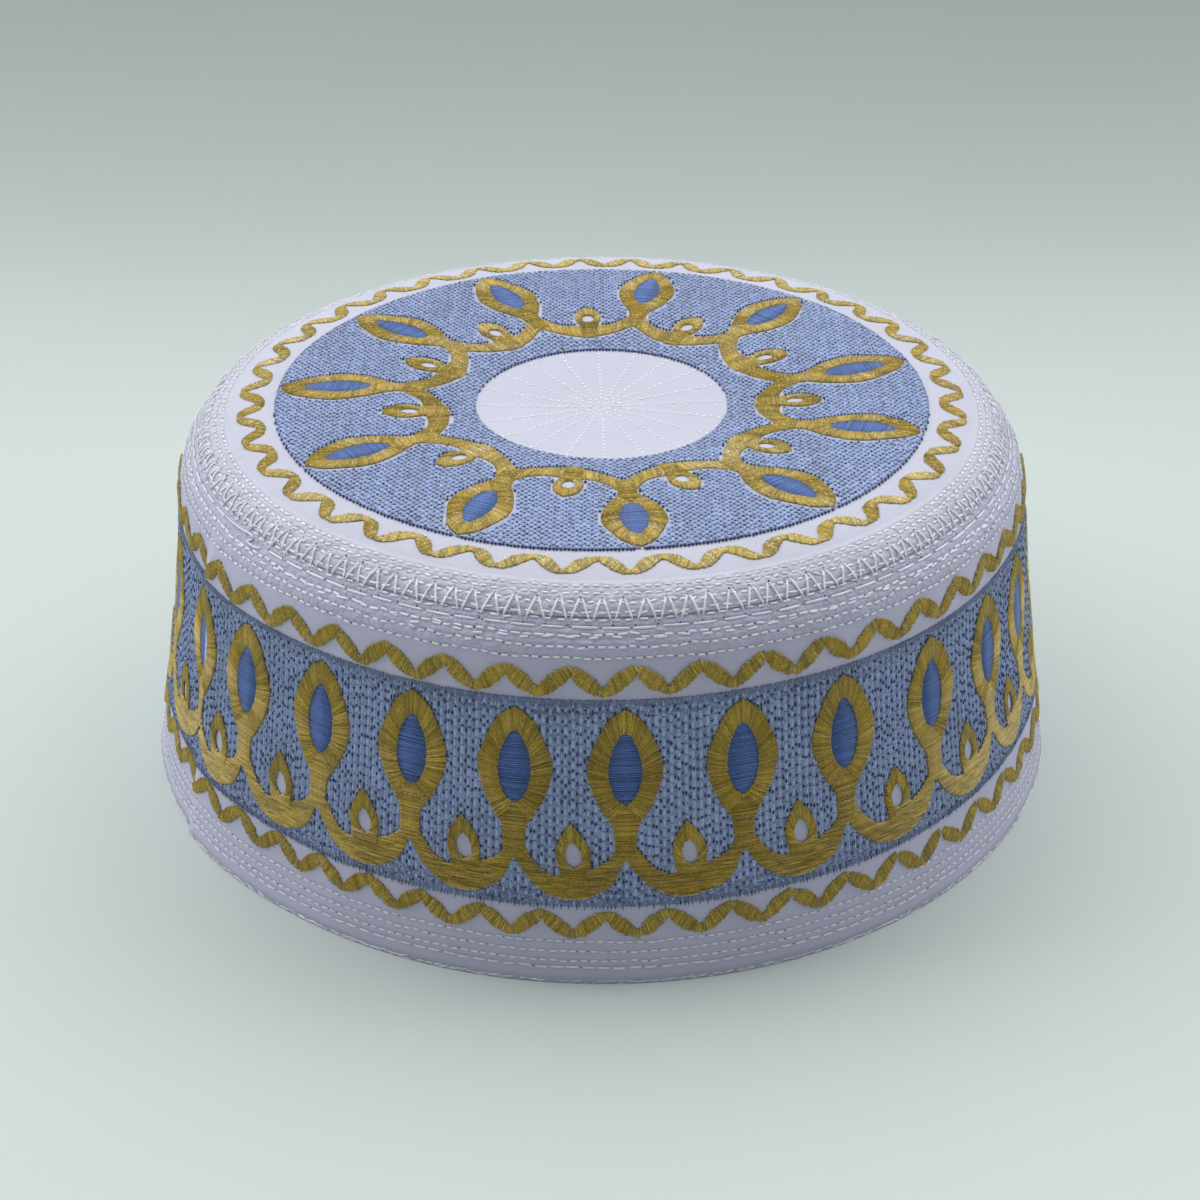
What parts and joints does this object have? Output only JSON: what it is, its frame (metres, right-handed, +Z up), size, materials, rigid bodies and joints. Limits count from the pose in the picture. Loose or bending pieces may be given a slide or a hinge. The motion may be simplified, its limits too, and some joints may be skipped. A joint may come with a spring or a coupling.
{
  "type": "embroidered cap",
  "caption": "Round flat-topped cloth cap: a dished crown sewn over a tall leaning side band, open below for the head, with satin embroidery and quilting rows.",
  "frame": {"origin": "on the surface that the cap rests on, at the middle of its open lower edge", "axes": "+Z up from the lower edge to the crown; the front of the cap faces -Y; +X to the wearer's left as seen from the front"},
  "size_m": [0.185, 0.185, 0.0719],
  "materials": {
    "crown_cotton": "matt white cotton, plain weave",
    "band_cotton": "matt white cotton, plain weave, quilted",
    "gold_thread": "glossy olive gold embroidery thread, satin stitch",
    "blue_thread": "cornflower blue embroidery thread, running and satin stitch",
    "white_thread": "glossy white sewing thread"
  },
  "bodies": {
    "root": {"crown": "crown_cotton", "side_band": "band_cotton"}
  },
  "joints": []
}
